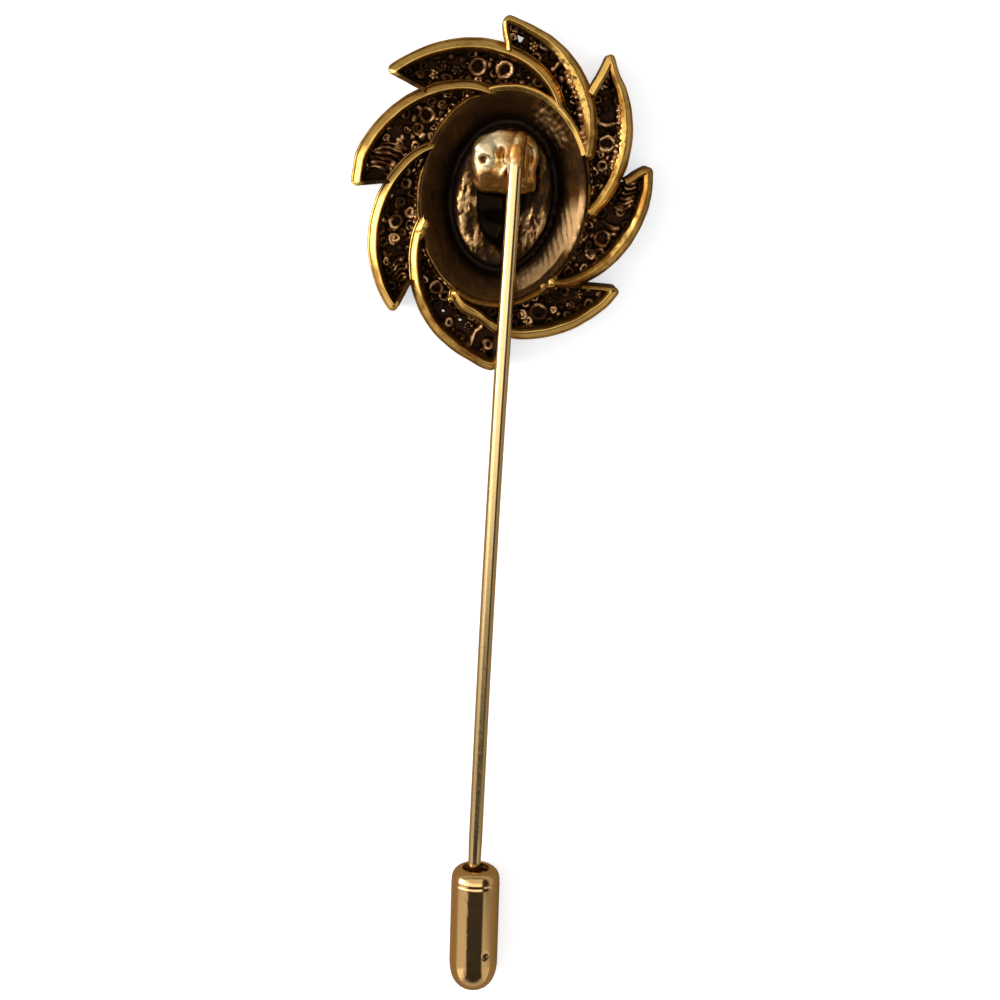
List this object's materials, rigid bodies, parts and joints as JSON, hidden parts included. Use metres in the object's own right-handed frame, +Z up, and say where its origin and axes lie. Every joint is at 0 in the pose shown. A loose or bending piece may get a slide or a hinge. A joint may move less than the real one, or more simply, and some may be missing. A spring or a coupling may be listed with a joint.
{
  "type": "stick pin",
  "caption": "Stick pin with a pinwheel head of crescent leaves round an oval dish, a long wire stem and a bullet clutch that pulls off its point.",
  "frame": {"origin": "middle of the pin's outline, on the surface that it lies on face down", "axes": "+Y from the clutch to the head, +Z up out of the back of the head, +X to the right seen from the back with the head at the top"},
  "size_m": [0.0218, 0.075, 0.0064],
  "materials": {
    "antique_gold": "gilt cast metal, polished on the rims and dark in the recesses",
    "dark_stone": "dark polished cabochon",
    "clutch_gold": "gilt, polished",
    "dark_grip": "darkened spring metal"
  },
  "bodies": {
    "pin": {"pin": "antique_gold", "stone": "dark_stone"},
    "clutch": {"clutch": "clutch_gold", "clutch_grip": "dark_grip"}
  },
  "joints": [
    {"name": "clutch_slide", "type": "slide", "parent": "pin", "child": "clutch", "axis": [0, -0.998, -0.0628], "range_m": [0, 0.014]}
  ]
}
